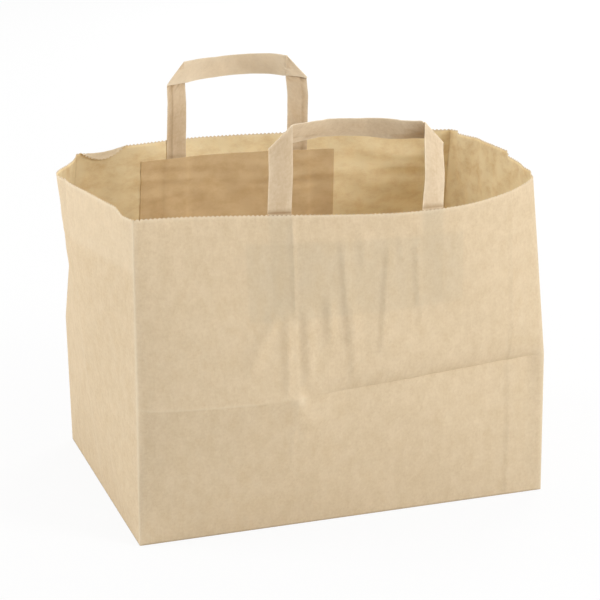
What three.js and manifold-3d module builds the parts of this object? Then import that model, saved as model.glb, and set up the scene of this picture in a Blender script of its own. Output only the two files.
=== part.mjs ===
// Paper carrier bag: a block-bottom bag folded from one sheet of kraft paper, standing open.
// Two flat handles, each folded from a paper strip, are glued inside the front and back panels
// under paper patches.
// Millimetres, +Z up, origin at the middle of the underside. The front panel faces -Y.

import * as THREE from "three";
import { mergeVertices } from "three/addons/utils/BufferGeometryUtils.js";
import Module from "manifold-3d";

// Bag sheet
const WIDTH = 320; // front and back panels
const DEPTH = 215; // gussets
const HEIGHT = 245; // bottom fold to the rim of the front panel
const PAPER = 0.4; // wall of the bag and of the patches
const GLUE_GAP = 0.3; // between pieces that are glued together

// Rim: the front is cut lowest, the gussets a step higher and the back highest
const SIDE_RISE = 4; // gusset rim above the front rim
const BACK_RISE = 6; // back rim above the front rim
const STEP_RUN = 2.5; // length of each slanted step between two cuts
const FRONT_CUT_LEFT = 20; // front cut carried on round the left fold
const FRONT_CUT_RIGHT = 70; // front cut carried on round the right fold
const BACK_CUT_RIGHT = 13; // back cut carried on round the back right fold
const BACK_CUT_LEFT = 0.5; // back cut carried on round the back left fold

// Bottom
const FLAP_OVERLAP = 20; // front flap over back flap at the middle of the underside
const FLAP_BOND = 0.08; // how deep two glued layers sink into each other

// Long seam: the sheet's outer end lies on the front panel, its inner end on the right gusset
const SEAM_ON_FRONT = 31; // outer end, left of the front right fold
const SEAM_ON_SIDE = 13; // inner end, behind the same fold
const SEAM_EDGE = 0.3; // run of the step at each end

// Handles and patches
const HANDLE_STRIP = 17; // width of the folded strip
const HANDLE_PLY = 0.5; // thickness of the folded strip
const HANDLE_TAIL = 4; // end of each leg above the lower edge of its patch
const GRIP_PEAK = 0.5; // share of the grip where it bows most
const PATCH_WIDTH = 166;
const PATCH_HEIGHT = 58;
const PATCH_RAMP = 4; // the patch climbs over a leg within this distance

// Front handle, from the panel's middle and rim
const FRONT_SPAN = 131; // over the outer edges of the two legs
const FRONT_SET = 2; // to the right
const FRONT_HANDLE_RISE = 64; // top edge above the rim
const FRONT_PATCH_DROP = 21; // top edge of the patch below the rim
const FRONT_GRIP_BOW = 22; // top edge of the grip bowed into the bag
const FRONT_GRIP_TILT = 8; // lower edge of the grip bowed further than the top edge

// Back handle, from the panel's middle and rim
const BACK_SPAN = 121; // over the outer edges of the two legs
const BACK_SET = 18; // to the left
const BACK_HANDLE_RISE = 61; // top edge above the rim
const BACK_PATCH_DROP = 16; // top edge of the patch below the rim
const BACK_GRIP_BOW = 14; // top edge of the grip bowed away from the bag
const BACK_GRIP_TILT = 6.5; // lower edge of the grip bowed further than the top edge

// How far each panel or half gusset bows out at the crease and at the rim, and how far a rim sags
const FRONT_CREASE_BOW = 23;
const FRONT_RIM_BOW = 31;
const FRONT_SAG = 7.5;
const RIGHT_FRONT_BOW = 5;
const RIGHT_BACK_BOW = 3;
const BACK_CREASE_BOW = 6;
const BACK_RIM_BOW = 34;
const BACK_SAG = 1.5;
const LEFT_BACK_BOW = 8;
const LEFT_FRONT_BOW = 3;
const LEFT_FRONT_BELLY = 3; // more, halfway up

// How far each upright fold leans from an upright box, in x and y, at the crease and at the rim
const FOLDS = {
  frontLeft: { side: [-1, -1], crease: [-1, -3], rim: [1, 5] },
  frontRight: { side: [1, -1], crease: [4, 13], rim: [-1, 35] },
  rightMiddle: { side: [1, 0], crease: [-1, 2], rim: [0, 0] },
  backRight: { side: [1, 1], crease: [-2, -12], rim: [-8, -40] },
  backLeft: { side: [-1, 1], crease: [-3, -3], rim: [3, -30] },
  leftMiddle: { side: [-1, 0], crease: [-13, -4], rim: [-20, 12] },
};

// Panels in order round the bag, from fold to fold. A bow is given as [distance, share of the width
// where the panel bows most].
const STRAIGHT = [0, 0.5]; // a gusset at the crease
const PANELS = [
  {
    name: "front",
    folds: ["frontLeft", "frontRight"],
    crease: [FRONT_CREASE_BOW, 0.36],
    rim: [FRONT_RIM_BOW, 0.68],
    sag: FRONT_SAG,
  },
  { name: "rightFront", folds: ["frontRight", "rightMiddle"], rim: [RIGHT_FRONT_BOW, 0.5] },
  { name: "rightBack", folds: ["rightMiddle", "backRight"], rim: [RIGHT_BACK_BOW, 0.5] },
  {
    name: "back",
    folds: ["backRight", "backLeft"],
    crease: [BACK_CREASE_BOW, 0.5],
    rim: [BACK_RIM_BOW, 0.58],
    sag: BACK_SAG,
  },
  { name: "leftBack", folds: ["backLeft", "leftMiddle"], rim: [LEFT_BACK_BOW, 0.74] },
  {
    name: "leftFront",
    folds: ["leftMiddle", "frontLeft"],
    rim: [LEFT_FRONT_BOW, 0.3],
    belly: LEFT_FRONT_BELLY,
  },
];
const BOW_FULLNESS = 0.8; // 1 for a sine arch, less for a fuller one

// Facets
const CREASE_STEPS = 6; // rows below the crease, and columns in half a gusset
const COLUMN_STEP = 20; // widest column of a panel
const ROW_STEP = 34; // tallest row above the crease
const STRIP_STEPS = 12; // facets along the grip of a handle
const FOLD_STEPS = 4; // facets round a mitre fold

const SAME = 1e-6; // two places this near are one
const WELD = 1e-4; // corners this near are one
const NEARBY = 1; // distance to the points that give a direction along a panel
const CREASE = DEPTH / 2; // height of the crease where the gussets' middle folds start
const BASE_LEVEL = PAPER / 2; // middle of the paper where the walls meet the bottom
const UP = new THREE.Vector3(0, 0, 1);

const wasm = await Module();
wasm.setup();

// Bare position geometry from points and triangles
function geometryOf(points, triangles) {
  const geometry = new THREE.BufferGeometry();
  const flat = points.flatMap((point) => [point.x, point.y, point.z]);
  geometry.setAttribute("position", new THREE.Float32BufferAttribute(flat, 3));
  geometry.setIndex(triangles.flat());
  return geometry;
}

function solidOf(geometry) {
  const bare = geometry.clone();
  bare.deleteAttribute("normal");
  bare.deleteAttribute("uv");
  const merged = mergeVertices(bare, WELD);
  const vertProperties = new Float32Array(merged.attributes.position.array);
  const triVerts = new Uint32Array(merged.index.array);
  return new wasm.Manifold(new wasm.Mesh({ numProp: 3, vertProperties, triVerts }));
}

function geometryOfSolid(solid) {
  const mesh = solid.getMesh();
  const geometry = new THREE.BufferGeometry();
  geometry.setAttribute("position", new THREE.BufferAttribute(mesh.vertProperties, 3));
  geometry.setIndex(new THREE.BufferAttribute(mesh.triVerts, 1));
  return geometry;
}

// Two triangles for the quad a, b, c, d, split along a-c or along b-d
function quad(a, b, c, d, alongBD = false) {
  return alongBD ? [[a, b, d], [b, c, d]] : [[a, b, c], [a, c, d]];
}

// The folds in space: on the base rectangle, at the crease and at the rim. Their sheet length is kept.
for (const fold of Object.values(FOLDS)) {
  const [sideX, sideY] = fold.side;
  const rise = Math.sqrt(CREASE ** 2 - fold.crease[0] ** 2 - fold.crease[1] ** 2);
  const lean = [fold.rim[0] - fold.crease[0], fold.rim[1] - fold.crease[1]];
  const climb = Math.sqrt((HEIGHT - CREASE) ** 2 - lean[0] ** 2 - lean[1] ** 2);
  fold.atBase = new THREE.Vector3((sideX * WIDTH) / 2, (sideY * DEPTH) / 2, BASE_LEVEL);
  fold.atCrease = fold.atBase.clone().add(new THREE.Vector3(...fold.crease, rise));
  fold.atRim = fold.atCrease.clone().add(new THREE.Vector3(...lean, climb));
}

// Share of the way from the crease to the rim; below the crease it is negative
const aboveCrease = (height) => (height - CREASE) / (HEIGHT - CREASE);

function foldAt(fold, height) {
  if (height < CREASE) return fold.atBase.clone().lerp(fold.atCrease, height / CREASE);
  return fold.atCrease.clone().lerp(fold.atRim, aboveCrease(height));
}

// An arch from 0 to 1 and back over the share 0 to 1, highest at the share peak
function arch(share, peak) {
  const turned = Math.sin(Math.PI * share ** (Math.log(0.5) / Math.log(peak)));
  return Math.max(turned, 0) ** BOW_FULLNESS;
}

// A gusset's middle fold, as against a corner fold
const isMiddle = (fold) => fold.side[1] === 0;

// Below the crease a gusset half is two flat triangles that meet along the diagonal crease
function gussetFoot(corner, middle, toMiddle, height) {
  const raised = height / CREASE;
  const foot = corner.atBase.clone();
  if (raised <= toMiddle) {
    foot.addScaledVector(middle.atBase.clone().sub(corner.atBase), toMiddle);
    return foot.addScaledVector(middle.atCrease.clone().sub(middle.atBase), raised);
  }
  foot.addScaledVector(corner.atCrease.clone().sub(corner.atBase), raised);
  return foot.addScaledVector(middle.atCrease.clone().sub(corner.atCrease), toMiddle);
}

// Middle of the paper on a panel, at a share of its width and a height along the sheet
function sheetPoint({ folds, crease = STRAIGHT, rim, belly = 0, sag = 0 }, share, height) {
  const [from, to] = folds.map((name) => FOLDS[name]);
  if (height < CREASE && isMiddle(to)) return gussetFoot(from, to, share, height);
  if (height < CREASE && isMiddle(from)) return gussetFoot(to, from, 1 - share, height);
  const start = foldAt(from, height);
  const end = foldAt(to, height);
  const outward = end.clone().sub(start).cross(UP).normalize();
  const creaseBow = crease[0] * arch(share, crease[1]);
  const rimArch = arch(share, rim[1]);
  const raised = aboveCrease(height);
  const bellyBow = belly * rimArch * 4 * raised * (1 - raised);
  const upright = THREE.MathUtils.lerp(creaseBow, rim[0] * rimArch, raised) + bellyBow;
  const bow = raised < 0 ? (creaseBow * height) / CREASE : upright;
  const point = start.lerp(end, share).addScaledVector(outward, bow);
  point.z -= sag * rimArch * Math.max(raised, 0) ** 2;
  return point;
}

// Handle and patch edges on a panel, as distances from its first fold and heights along the sheet
function handleLayout({ name, span, set, rim, rise, drop, bow, tilt }) {
  const middle = WIDTH / 2 + set;
  const legs = [-1, 1].map((side) => {
    const outer = middle + (side * span) / 2;
    const inner = outer - side * HANDLE_STRIP;
    return { outer, inner };
  });
  const patch = [middle - PATCH_WIDTH / 2, middle + PATCH_WIDTH / 2];
  return { name, middle, legs, patch, rim, bow, tilt, top: rim + rise, patchTop: rim - drop };
}

const FRONT_LAYOUT = handleLayout({
  name: "front",
  span: FRONT_SPAN,
  set: FRONT_SET,
  rim: HEIGHT,
  rise: FRONT_HANDLE_RISE,
  drop: FRONT_PATCH_DROP,
  bow: FRONT_GRIP_BOW,
  tilt: FRONT_GRIP_TILT,
});
const BACK_LAYOUT = handleLayout({
  name: "back",
  span: BACK_SPAN,
  set: BACK_SET,
  rim: HEIGHT + BACK_RISE,
  rise: BACK_HANDLE_RISE,
  drop: BACK_PATCH_DROP,
  bow: -BACK_GRIP_BOW,
  tilt: -BACK_GRIP_TILT,
});

// Height of the cut rim round the bag, as distances from the front left fold
const PERIMETER = 2 * (WIDTH + DEPTH);
const BACK_START = WIDTH + DEPTH;
const BACK_END = BACK_START + WIDTH;
const RIM_STEPS = [
  [WIDTH + FRONT_CUT_RIGHT, 0, SIDE_RISE],
  [BACK_START - BACK_CUT_RIGHT - STEP_RUN, SIDE_RISE, BACK_RISE],
  [BACK_END + BACK_CUT_LEFT, BACK_RISE, SIDE_RISE],
  [PERIMETER - FRONT_CUT_LEFT - STEP_RUN, SIDE_RISE, 0],
];

function rimHeight(along) {
  let rise = 0;
  for (const [start, low, high] of RIM_STEPS) {
    const share = THREE.MathUtils.clamp((along - start) / STEP_RUN, 0, 1);
    if (share > 0) rise = THREE.MathUtils.lerp(low, high, share);
  }
  return HEIGHT + rise;
}

// Faces of the wall, out from the middle of the paper. In the seam the sheet's outer end lies on
// its inner end, and past the seam the outer end leads back to the middle within the right gusset.
const SEAM_START = WIDTH - SEAM_ON_FRONT;
const SEAM_END = WIDTH + SEAM_ON_SIDE;
const GUSSET_MIDDLE = WIDTH + DEPTH / 2;

function wallFaces(along) {
  const steps = THREE.MathUtils.clamp((along - SEAM_START) / SEAM_EDGE, 0, 1);
  const ends = THREE.MathUtils.clamp((along - SEAM_END) / SEAM_EDGE, 0, 1);
  const back = THREE.MathUtils.clamp((along - GUSSET_MIDDLE) / (BACK_START - GUSSET_MIDDLE), 0, 1);
  const outer = PAPER / 2 + PAPER * (steps - back);
  const inner = -PAPER / 2 + PAPER * (ends - back);
  return { outer, inner };
}

// Sorted distances from marks, with each span divided into columns, apart from the spans kept whole
function stations(marks, step, whole = []) {
  const ordered = [...marks].sort((a, b) => a - b);
  const sorted = ordered.filter((mark, i) => i === 0 || mark - ordered[i - 1] > SAME);
  return sorted.flatMap((mark, i) => {
    if (i === sorted.length - 1) return [mark];
    const span = sorted[i + 1] - mark;
    const kept = whole.some(([low, high]) => mark > low - SAME && sorted[i + 1] < high + SAME);
    const count = kept ? 1 : Math.ceil(span / step - SAME);
    return Array.from({ length: count }, (_, k) => mark + (span * k) / count);
  });
}

// Columns of the wall round the bag
const legSpans = ({ legs }) => legs.map(({ outer, inner }) => [outer, inner].sort((a, b) => a - b));

function handleMarks(layout) {
  const ramps = ([low, high]) => [low - PATCH_RAMP, low, high, high + PATCH_RAMP];
  return [...layout.patch, ...legSpans(layout).flatMap(ramps)];
}

const EXTRA_MARKS = {
  front: [...handleMarks(FRONT_LAYOUT), SEAM_START, SEAM_START + SEAM_EDGE],
  back: handleMarks(BACK_LAYOUT),
};
const KEPT_WHOLE = { front: legSpans(FRONT_LAYOUT), back: legSpans(BACK_LAYOUT) };
const ROUND_MARKS = [
  SEAM_END,
  SEAM_END + SEAM_EDGE,
  ...RIM_STEPS.flatMap(([start]) => [start, start + STEP_RUN]),
];

function wallColumns() {
  const columns = [];
  let start = 0;
  for (const panel of PANELS) {
    const isHalfGusset = panel.folds.some((name) => isMiddle(FOLDS[name]));
    const length = isHalfGusset ? DEPTH / 2 : WIDTH;
    const step = isHalfGusset ? length / CREASE_STEPS : COLUMN_STEP;
    const marks = [0, ...(EXTRA_MARKS[panel.name] ?? []), length];
    const grid = stations(marks, step, KEPT_WHOLE[panel.name]);
    const passing = ROUND_MARKS.map((mark) => mark - start);
    const inside = passing.filter((mark) => mark > SAME && mark < length - SAME);
    const places = stations([...grid, ...inside], length);
    for (const place of places.slice(0, -1)) {
      const along = start + place;
      const share = place / length;
      columns.push({ panel, place, along, share, ...wallFaces(along), rim: rimHeight(along) });
    }
    start += length;
  }
  return columns;
}

// Rows of the wall: below the crease in equal steps, then up to the patch, which sits higher on the
// back panel than on the front, and last the cut rim
const PATCH_LIFT = BACK_LAYOUT.patchTop - FRONT_LAYOUT.patchTop;
const PATCH_FOOT = FRONT_LAYOUT.patchTop - PATCH_HEIGHT;
const FOOT_ROWS = stations([0, CREASE], CREASE / CREASE_STEPS);
const HEAD_ROWS = stations([CREASE, PATCH_FOOT], ROW_STEP).slice(1);
const PATCH_MARKS = [PATCH_FOOT, PATCH_FOOT + HANDLE_TAIL, FRONT_LAYOUT.patchTop];
const PATCH_ROWS = stations(PATCH_MARKS, ROW_STEP).slice(1);
const ROWS = [...FOOT_ROWS, ...HEAD_ROWS, ...PATCH_ROWS];
const PATCH_FOOT_ROW = FOOT_ROWS.length + HEAD_ROWS.length - 1;
const LEG_END_ROW = PATCH_FOOT_ROW + 1;
const PATCH_TOP_ROW = ROWS.length - 1;
const RIM_ROW = ROWS.length;

// How much of the way from the front panel to the back panel a column is
function towardsBack({ along }) {
  const across = along < BACK_END ? along - WIDTH : PERIMETER - along;
  return THREE.MathUtils.clamp(across / DEPTH, 0, 1);
}

function rowHeight(row, column) {
  if (row === RIM_ROW) return column.rim;
  const lifted = THREE.MathUtils.clamp((ROWS[row] - CREASE) / (PATCH_FOOT - CREASE), 0, 1);
  return ROWS[row] + PATCH_LIFT * lifted * towardsBack(column);
}

// Middle of the paper at each row and column
const COLUMNS = wallColumns();
const GRID = Array.from({ length: RIM_ROW + 1 }, (_, row) =>
  COLUMNS.map((column) => sheetPoint(column.panel, column.share, rowHeight(row, column))));

const wrap = (i) => (i + COLUMNS.length) % COLUMNS.length;

function cellNormal(row, i) {
  const rising = GRID[row + 1][wrap(i + 1)].clone().sub(GRID[row][wrap(i)]);
  const falling = GRID[row + 1][wrap(i)].clone().sub(GRID[row][wrap(i + 1)]);
  return rising.cross(falling).normalize();
}

// Outward direction at a grid point, lengthened at the folds so that the paper keeps its thickness
function wallNormal(row, i) {
  const rows = [row - 1, row].filter((r) => r >= 0 && r < RIM_ROW);
  const sumOver = (c) => rows.reduce((sum, r) => sum.add(cellNormal(r, c)), new THREE.Vector3());
  const sides = [i - 1, i].map(sumOver);
  if (row === 0) sides.forEach((side) => side.setZ(0));
  sides.forEach((side) => side.normalize());
  const normal = sides[0].clone().add(sides[1]).normalize();
  return normal.divideScalar(normal.dot(sides[0]));
}

const NORMALS = GRID.map((points, row) => points.map((_, i) => wallNormal(row, i)));

// Point out from the middle of the paper, or into the bag where out is negative
const wallPoint = (row, i, out) => GRID[row][wrap(i)].clone().addScaledVector(NORMALS[row][wrap(i)], out);

// The diagonal creases of a gusset rise to its middle fold, so cells are split along them
const risesToNext = ({ panel }) => isMiddle(FOLDS[panel.folds[1]]);

// Folded walls: a shell between the outer and the inner faces
function wallShell() {
  const count = COLUMNS.length;
  const points = [];
  const triangles = [];
  const at = (face, row, i) => (face * (RIM_ROW + 1) + row) * count + wrap(i);
  for (const face of ["outer", "inner"]) {
    GRID.forEach((_, row) => COLUMNS.forEach((column, i) => points.push(wallPoint(row, i, column[face]))));
  }
  COLUMNS.forEach((column, i) => {
    const alongBD = !risesToNext(column);
    const edge = (face, row) => [at(face, row, i), at(face, row, i + 1)];
    const band = (face, row) => [...edge(face, row), ...edge(face, row + 1).reverse()];
    for (let row = 0; row < RIM_ROW; row++) {
      triangles.push(...quad(...band(0, row), alongBD));
      triangles.push(...quad(...band(1, row), alongBD).map(([a, b, c]) => [a, c, b]));
    }
    triangles.push(...quad(...edge(0, RIM_ROW), ...edge(1, RIM_ROW).reverse()));
    triangles.push(...quad(...edge(1, 0), ...edge(0, 0).reverse()));
  });
  return geometryOf(points, triangles);
}

// A layer of the bottom: a flat outline from one level up to a level inside the next layer
function bottomLayer(outline, level) {
  const shape = new THREE.Shape(outline.map(([x, y]) => new THREE.Vector2(x, y)));
  const geometry = new THREE.ExtrudeGeometry(shape, { depth: PAPER + FLAP_BOND, bevelEnabled: false });
  return geometry.translate(0, 0, level);
}

// Block bottom: the gusset ends are folded in first, then the back flap, then the front flap over it.
// The long flaps end in 45 degree folds that start in the corners.
function blockBottom() {
  const reach = DEPTH / 2 + FLAP_OVERLAP / 2;
  const halfEdge = Math.max(WIDTH / 2 - reach, PAPER);
  const longFlap = (side) => [
    [-WIDTH / 2, (side * DEPTH) / 2],
    [WIDTH / 2, (side * DEPTH) / 2],
    [halfEdge, side * (DEPTH / 2 - reach)],
    [-halfEdge, side * (DEPTH / 2 - reach)],
  ];
  const endFlap = (side) => [
    [(side * WIDTH) / 2, -DEPTH / 2],
    [(side * WIDTH) / 2, DEPTH / 2],
    [side * (WIDTH / 2 - reach), DEPTH / 2],
    [side * (WIDTH / 2 - reach), -DEPTH / 2],
  ];
  return [
    bottomLayer(longFlap(-1), 0),
    bottomLayer(longFlap(1), PAPER),
    bottomLayer(endFlap(-1), 2 * PAPER),
    bottomLayer(endFlap(1), 2 * PAPER),
  ];
}

function bagBody() {
  const wall = solidOf(wallShell());
  return geometryOfSolid(blockBottom().reduce((body, layer) => body.add(solidOf(layer)), wall));
}

// Closed sheet swept through cross-sections, each a list of [face point, opposite face point].
// The first face looks to the right of the sweep, with the cross-sections running up. Its cells are
// split along the same diagonals as the wall's cells that they lie on.
function sweptSheet(sections, alongBD) {
  const width = sections[0].length;
  const points = sections.flat(2);
  const top = width - 1;
  const last = sections.length - 1;
  const at = (section, k, face) => (section * width + k) * 2 + face;
  const triangles = [];
  for (let s = 0; s < last; s++) {
    for (let k = 0; k < top; k++) {
      triangles.push(...quad(at(s, k, 0), at(s + 1, k, 0), at(s + 1, k + 1, 0), at(s, k + 1, 0), alongBD));
      triangles.push(...quad(at(s, k, 1), at(s, k + 1, 1), at(s + 1, k + 1, 1), at(s + 1, k, 1), alongBD));
    }
    triangles.push(...quad(at(s, 0, 0), at(s, 0, 1), at(s + 1, 0, 1), at(s + 1, 0, 0)));
    triangles.push(...quad(at(s, top, 0), at(s + 1, top, 0), at(s + 1, top, 1), at(s, top, 1)));
  }
  for (let k = 0; k < top; k++) {
    triangles.push(...quad(at(0, k, 0), at(0, k + 1, 0), at(0, k + 1, 1), at(0, k, 1)));
    triangles.push(...quad(at(last, k, 0), at(last, k, 1), at(last, k + 1, 1), at(last, k + 1, 0)));
  }
  return geometryOf(points, triangles);
}

const columnAt = (name, place) =>
  COLUMNS.findIndex((column) => column.panel.name === name && Math.abs(column.place - place) < SAME);

// Patch: lies on the panel and climbs over the two legs
function patch(layout) {
  const first = columnAt(layout.name, layout.patch[0]);
  const last = columnAt(layout.name, layout.patch[1]);
  const lift = (place) => {
    const overLeg = legSpans(layout).some(([low, high]) => place > low - SAME && place < high + SAME);
    return PAPER / 2 + GLUE_GAP + (overLeg ? HANDLE_PLY + GLUE_GAP : 0);
  };
  const sections = [];
  for (let i = first; i <= last; i++) {
    const near = lift(COLUMNS[i].place);
    const section = [];
    for (let row = PATCH_FOOT_ROW; row <= PATCH_TOP_ROW; row++) {
      section.push([wallPoint(row, i, -near), wallPoint(row, i, -near - PAPER)]);
    }
    sections.push(section);
  }
  return sweptSheet(sections, true);
}

// Handle: one strip that rises as a leg, folds over at 45 degrees to the grip on the inner side,
// and folds again to the other leg. Each cross-section runs from the strip's inner to its outer edge.
function handle(layout) {
  const { name, rim, top, bow, tilt } = layout;
  const panel = PANELS.find((candidate) => candidate.name === name);
  const legOut = -(PAPER / 2 + GLUE_GAP + HANDLE_PLY / 2);
  const foldRadius = (HANDLE_PLY + GLUE_GAP) / 2;
  const [first, second] = layout.legs;

  // Outward level direction of the panel at the rim
  const outwardAt = (place) => {
    const [before, after] = [-NEARBY, NEARBY].map((step) => sheetPoint(panel, (place + step) / WIDTH, rim));
    return after.sub(before).cross(UP).normalize();
  };

  // Free part of the strip above the rim, upright
  const freePoint = (place, height) => {
    const onLeg = columnAt(name, place);
    const start = onLeg < 0
      ? sheetPoint(panel, place / WIDTH, rim).addScaledVector(outwardAt(place), legOut)
      : wallPoint(RIM_ROW, onLeg, legOut);
    return start.addScaledVector(UP, height - rim);
  };

  // Edge of the grip, 0 for the top and 1 for the lower edge. A grip bowed into the bag leaves the
  // legs at the folds, and one bowed away from it lies on the legs as far as their inner edges.
  const gripPoint = (place, edge) => {
    const [from, to] = layout.legs.map((leg) => (edge === 1 && bow > 0 ? leg.outer : leg.inner));
    const share = THREE.MathUtils.clamp((place - from) / (to - from), 0, 1);
    const arched = arch(share, GRIP_PEAK);
    const further = edge * tilt * arched;
    const drop = Math.sqrt((edge * HANDLE_STRIP) ** 2 - further ** 2);
    return freePoint(place, top - drop).addScaledVector(outwardAt(layout.middle), -bow * arched - further);
  };

  const sheetPair = (point, normal) => [
    point.clone().addScaledVector(normal, HANDLE_PLY / 2),
    point.clone().addScaledVector(normal, -HANDLE_PLY / 2),
  ];

  // Leg in the wall's rows from its end up to the rim, then up to the mitre
  const legSections = (leg) => {
    const ends = [leg.inner, leg.outer].map((place) => columnAt(name, place));
    const faces = [legOut + HANDLE_PLY / 2, legOut - HANDLE_PLY / 2];
    const sections = [];
    for (let row = LEG_END_ROW; row <= RIM_ROW; row++) {
      sections.push(ends.map((i) => faces.map((out) => wallPoint(row, i, out))));
    }
    return sections;
  };

  // Corner of the handle: the mitre's two ends and the directions of the leg's face and the fold
  const mitre = (leg) => {
    const low = freePoint(leg.outer, top - HANDLE_STRIP);
    const high = freePoint(leg.inner, top);
    const axis = high.clone().sub(low).normalize();
    const across = freePoint(leg.inner, top - HANDLE_STRIP).sub(low);
    const outward = across.cross(UP).normalize();
    if (outward.dot(outwardAt(layout.middle)) < 0) outward.negate();
    const beyond = axis.clone().cross(outward).normalize();
    if (beyond.z < 0) beyond.negate();
    return { low, high, outward, beyond };
  };

  // Half turn from the leg's layer to the grip's layer
  const foldSections = (corner) => Array.from({ length: FOLD_STEPS + 1 }, (_, k) => {
    const { low, high, outward, beyond } = corner;
    const angle = (Math.PI * k) / FOLD_STEPS;
    const radial = outward.clone().multiplyScalar(Math.cos(angle)).addScaledVector(beyond, Math.sin(angle));
    const turned = radial.clone().sub(outward).multiplyScalar(foldRadius);
    return [high, low].map((end) => sheetPair(end.clone().add(turned), radial));
  });

  // Grip between the two mitres, on the inner layer
  const gripSections = () => Array.from({ length: STRIP_STEPS - 1 }, (_, k) => {
    const share = (k + 1) / STRIP_STEPS;
    const lowPlace = THREE.MathUtils.lerp(first.outer, second.outer, share);
    const highPlace = THREE.MathUtils.lerp(first.inner, second.inner, share);
    return [highPlace, lowPlace].map((place, edge) => {
      const ahead = gripPoint(place + NEARBY, edge).sub(gripPoint(place - NEARBY, edge));
      const inward = ahead.cross(UP).normalize().negate();
      const point = gripPoint(place, edge).addScaledVector(inward, 2 * foldRadius);
      return sheetPair(point, inward);
    });
  });

  const [start, end] = [mitre(first), mitre(second)];
  return sweptSheet([
    ...legSections(first),
    ...foldSections(start),
    ...gripSections(),
    ...foldSections(end).reverse(),
    ...legSections(second).reverse(),
  ], false);
}

const kraft = (color) => new THREE.MeshStandardMaterial({ color, roughness: 0.9, metalness: 0 });

function piece(name, geometry, color) {
  geometry.computeVertexNormals();
  const mesh = new THREE.Mesh(geometry, kraft(color));
  mesh.name = name;
  return mesh;
}

const bag = new THREE.Group();
bag.name = "paper_carrier_bag";
bag.add(
  piece("bag_body", bagBody(), 0xdfc8a0),
  piece("front_handle", handle(FRONT_LAYOUT), 0xcdb08a),
  piece("back_handle", handle(BACK_LAYOUT), 0xcdb08a),
  piece("front_patch", patch(FRONT_LAYOUT), 0xc4a67e),
  piece("back_patch", patch(BACK_LAYOUT), 0xc4a67e),
);

export default bag;
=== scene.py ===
# Looks of the paper carrier bag: brown kraft paper with its folds, creases and pinked rim, the
# handles folded from paper strips, and the patches that hold them. Sizes are in millimetres.
import math

import bpy
import numpy as np
from mathutils import Matrix, Vector


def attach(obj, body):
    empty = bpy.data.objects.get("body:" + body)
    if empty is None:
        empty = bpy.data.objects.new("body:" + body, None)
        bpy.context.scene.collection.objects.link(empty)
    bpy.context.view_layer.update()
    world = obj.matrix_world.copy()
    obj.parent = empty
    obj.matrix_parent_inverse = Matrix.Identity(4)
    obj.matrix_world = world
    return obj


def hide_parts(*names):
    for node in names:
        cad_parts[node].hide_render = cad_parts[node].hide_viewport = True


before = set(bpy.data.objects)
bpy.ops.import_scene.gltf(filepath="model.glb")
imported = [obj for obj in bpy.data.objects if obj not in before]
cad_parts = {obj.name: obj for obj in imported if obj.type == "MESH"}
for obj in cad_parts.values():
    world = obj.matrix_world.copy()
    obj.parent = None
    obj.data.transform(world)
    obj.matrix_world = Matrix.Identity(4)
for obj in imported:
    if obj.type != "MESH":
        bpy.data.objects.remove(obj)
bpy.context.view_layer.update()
MM = 0.001

# Bag sheet
WIDTH = 320
DEPTH = 215
HEIGHT = 245
PAPER = 0.4
GLUE_GAP = 0.3
SHARP_ANGLE = math.radians(32)  # sharper folds keep a crisp edge

# Rim: the front is cut lowest, the gussets a step higher and the back highest
SIDE_RISE = 4
BACK_RISE = 6
STEP_RUN = 2.5
LEFT_STEP_RUN = 9  # torn and worn down
FRONT_CUT_LEFT = 20
FRONT_CUT_RIGHT = 80
BACK_CUT_RIGHT = 13
BACK_CUT_LEFT = 0.5
TOOTH_PITCH = 3.2
TOOTH_HEIGHT = 1.1

# Bottom
FLAP_OVERLAP = 20  # front flap over back flap, under the middle of the bag

# Long seam: the sheet's outer end lies on the front panel, its inner end on the right gusset
SEAM_ON_FRONT = 31
SEAM_ON_SIDE = 13
SEAM_EDGE = 0.8  # run of the step at each end

# Handles and patches
HANDLE_STRIP = 17
HANDLE_PLY = 0.5
HANDLE_TAIL = 4  # end of each leg above its patch's lower edge
PLY_EDGE = 4.5  # lengthwise edge of the top ply, from the strip's outer edge
PLY_SHARE = 1 - PLY_EDGE / HANDLE_STRIP
PLY_STEP = 0.12
PATCH_WIDTH = 166
PATCH_HEIGHT = 58
PATCH_RAMP = 4  # the patch climbs over a leg within this distance

# Upright folds: the corner or side of the bottom where the foot stands, and how far the fold leans from
# there, in x and y, at the crease and at the rim
FOLD_LEANS = {
    "front_left": ((-1, -1), (-1, -3), (1, 5)),
    "front_right": ((1, -1), (4, 13), (-1, 35)),
    "right_middle": ((1, 0), (-1, 2), (0, 0)),
    "back_right": ((1, 1), (-2, -12), (-8, -40)),
    "back_left": ((-1, 1), (-3, -3), (3, -30)),
    "left_middle": ((-1, 0), (-13, -4), (-20, 12)),
}

# Panels in order round the bag, from fold to fold. Each bows out at the rim, and may at the crease, by
# (distance, share of the width where it bows most). It may have a belly, and its rim may sag.
PANELS = [
    {"folds": ("front_left", "front_right"), "crease": (23, 0.36), "rim": (31, 0.68), "sag": 7.5},
    {"folds": ("front_right", "right_middle"), "rim": (5, 0.5)},
    {"folds": ("right_middle", "back_right"), "rim": (3, 0.5)},
    {"folds": ("back_right", "back_left"), "crease": (6, 0.5), "rim": (34, 0.58), "sag": 1.5},
    {"folds": ("back_left", "left_middle"), "rim": (8, 0.74)},
    {"folds": ("left_middle", "front_left"), "rim": (3, 0.3), "belly": 3},
]
NO_BOW = (0, 0.5)
BOW_FULLNESS = 0.8

CREASE = DEPTH / 2
PERIMETER = 2 * (WIDTH + DEPTH)
RIGHT_MIDDLE = WIDTH + DEPTH / 2
BACK_START = WIDTH + DEPTH
BACK_END = BACK_START + WIDTH
LEFT_MIDDLE = BACK_END + DEPTH / 2
UP = np.array([0.0, 0.0, 1.0])
NEAR = 0.4  # step for directions on the sheet

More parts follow.
